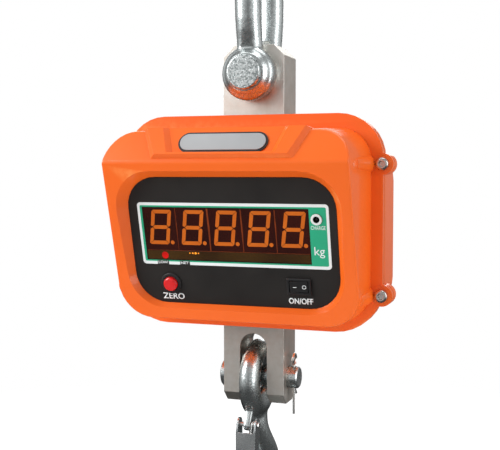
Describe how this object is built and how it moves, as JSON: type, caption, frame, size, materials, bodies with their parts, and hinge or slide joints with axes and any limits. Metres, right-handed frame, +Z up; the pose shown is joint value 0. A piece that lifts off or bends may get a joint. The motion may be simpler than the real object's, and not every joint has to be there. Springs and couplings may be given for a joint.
{
  "type": "crane scale",
  "caption": "Hanging crane scale: shackle, flat load cell, painted case with a lit digit display, button and rocker switch, and a swinging hook with a sprung latch.",
  "frame": {"origin": "the inner crown of the shackle's bow, where a crane's hook carries the scale", "axes": "+Z up along the line of load, +X to the right of somebody reading the display, +Y to the back of the scale"},
  "size_m": [0.252, 0.1628, 0.5387],
  "materials": {
    "zinc_plated_steel": "zinc plate over a forged surface, faintly speckled",
    "bright_steel": "bright drawn wire and rivet",
    "satin_nickel": "satin nickel plate",
    "stainless": "plain bright",
    "orange_paint": "glossy orange paint",
    "black_plastic": "moulded",
    "panel_black": "printed film on a flat sheet",
    "black_rubber": "soft",
    "red_plastic": "moulded",
    "amber_lamp": "clear-filled lamp",
    "dark_red_window": "dark red filter sheet",
    "grey_label": "flat grey",
    "green_board": "circuit board",
    "brass": "plain"
  },
  "bodies": {
    "shackle": {"shackle_bow": "zinc_plated_steel", "shackle_pin": "zinc_plated_steel", "shackle_washer": "zinc_plated_steel", "shackle_split_pin": "bright_steel"},
    "scale_body": {"battery": "grey_label", "battery_strap": "stainless", "bottom_collar": "black_rubber", "case_seal": "black_rubber", "cell_screw_bottom_left": "stainless", "cell_screw_bottom_right": "stainless", "cell_screw_top_left": "stainless", "cell_screw_top_right": "stainless", "charge_socket": "black_plastic", "charge_socket_nut": "brass", "cover_screw_bottom_left": "stainless", "cover_screw_bottom_right": "stainless", "cover_screw_top_left": "stainless", "cover_screw_top_right": "stainless", "digit_1": "black_plastic", "digit_2": "black_plastic", "digit_3": "black_plastic", "digit_4": "black_plastic", "digit_5": "black_plastic", "display_board": "green_board", "display_lead": "black_plastic", "display_screw_1": "stainless", "display_screw_2": "stainless", "display_screw_3": "stainless", "display_screw_4": "stainless", "display_window": "dark_red_window", "front_cover": "orange_paint", "front_panel": "panel_black", "gauge_cover_front": "stainless", "gauge_cover_rear": "stainless", "gauge_lead": "grey_label", "hood_plate": "grey_label", "hook_pin": "zinc_plated_steel", "hook_split_pin": "bright_steel", "load_cell": "satin_nickel", "main_board": "green_board", "main_board_screw_1": "stainless", "main_board_screw_2": "stainless", "main_board_screw_3": "stainless", "main_board_screw_4": "stainless", "rear_cover": "orange_paint", "status_lamp": "red_plastic", "strap_screw_1": "stainless", "strap_screw_2": "stainless", "switch_housing": "black_plastic", "top_collar": "black_rubber", "unit_lamps": "amber_lamp", "zero_button_body": "black_plastic", "zero_button_nut": "brass"},
    "hook": {"hook": "zinc_plated_steel", "latch_pin": "bright_steel"},
    "latch": {"hook_latch": "zinc_plated_steel", "latch_spring": "bright_steel"},
    "zero_button": {"zero_button": "red_plastic"},
    "rocker": {"rocker": "black_plastic"}
  },
  "joints": [
    {"name": "scale_swing", "type": "hinge", "parent": "shackle", "child": "scale_body", "pos_m": [0, 0, -0.1], "axis": [0, 1, 0], "range_deg": [-90, 90]},
    {"name": "hook_swing", "type": "hinge", "parent": "scale_body", "child": "hook", "pos_m": [-0.0015, 0, -0.3685], "axis": [1, 0, 0], "range_deg": [-75, 75]},
    {"name": "latch_open", "type": "hinge", "parent": "hook", "child": "latch", "pos_m": [-0.0015, -0.0275, -0.40745], "axis": [1, 0, 0], "range_deg": [0, 42], "stiffness_Nm_per_rad": 0.03, "springref_deg": -34.38},
    {"name": "zero_press", "type": "slide", "parent": "scale_body", "child": "zero_button", "axis": [0, 0.9699, 0.2436], "range_m": [0, 0.0025], "stiffness_N_per_m": 600, "springref_m": -0.0008},
    {"name": "power_rock", "type": "hinge", "parent": "scale_body", "child": "rocker", "pos_m": [0.0559, -0.0648, -0.27824], "axis": [0, -0.2436, 0.9699], "range_deg": [-16, 0]}
  ]
}
